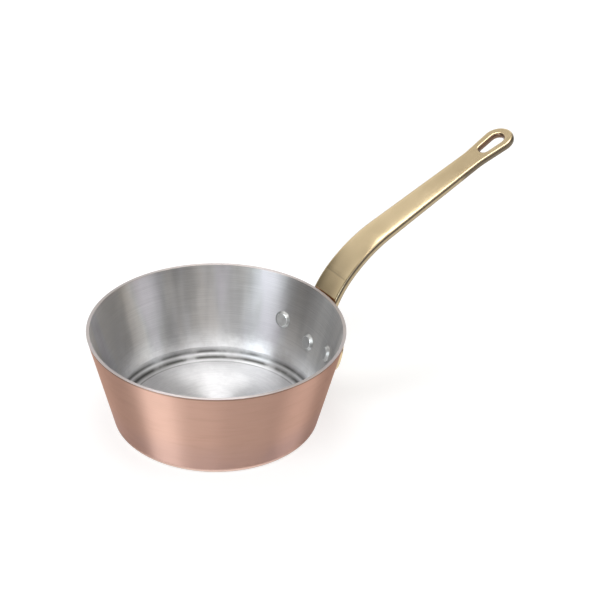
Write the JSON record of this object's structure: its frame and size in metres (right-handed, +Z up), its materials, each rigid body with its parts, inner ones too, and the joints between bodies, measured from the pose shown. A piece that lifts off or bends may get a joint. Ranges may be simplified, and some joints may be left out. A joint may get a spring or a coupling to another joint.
{
  "type": "splayed saucepan",
  "caption": "Shallow flared saucepan in copper with a silver-coloured lining and a long bent brass handle, riveted to the wall by a winged flange, with a teardrop hanging eye.",
  "frame": {"origin": "centre of the flat underside of the pan's base", "axes": "+Z up out of the pan's mouth, +X out along the handle, +Y to the left of the handle seen from above"},
  "size_m": [0.3548, 0.184, 0.1649],
  "materials": {
    "copper": "satin copper, brushed round the wall",
    "lining": "satin, with fine brushing round the wall",
    "handle_brass": "polished cast brass",
    "rivet_metal": "satin"
  },
  "bodies": {
    "root": {"copper_body": "copper", "inner_lining": "lining", "handle": "handle_brass", "rivet_left": "rivet_metal", "rivet_lower": "rivet_metal", "rivet_right": "rivet_metal"}
  },
  "joints": []
}
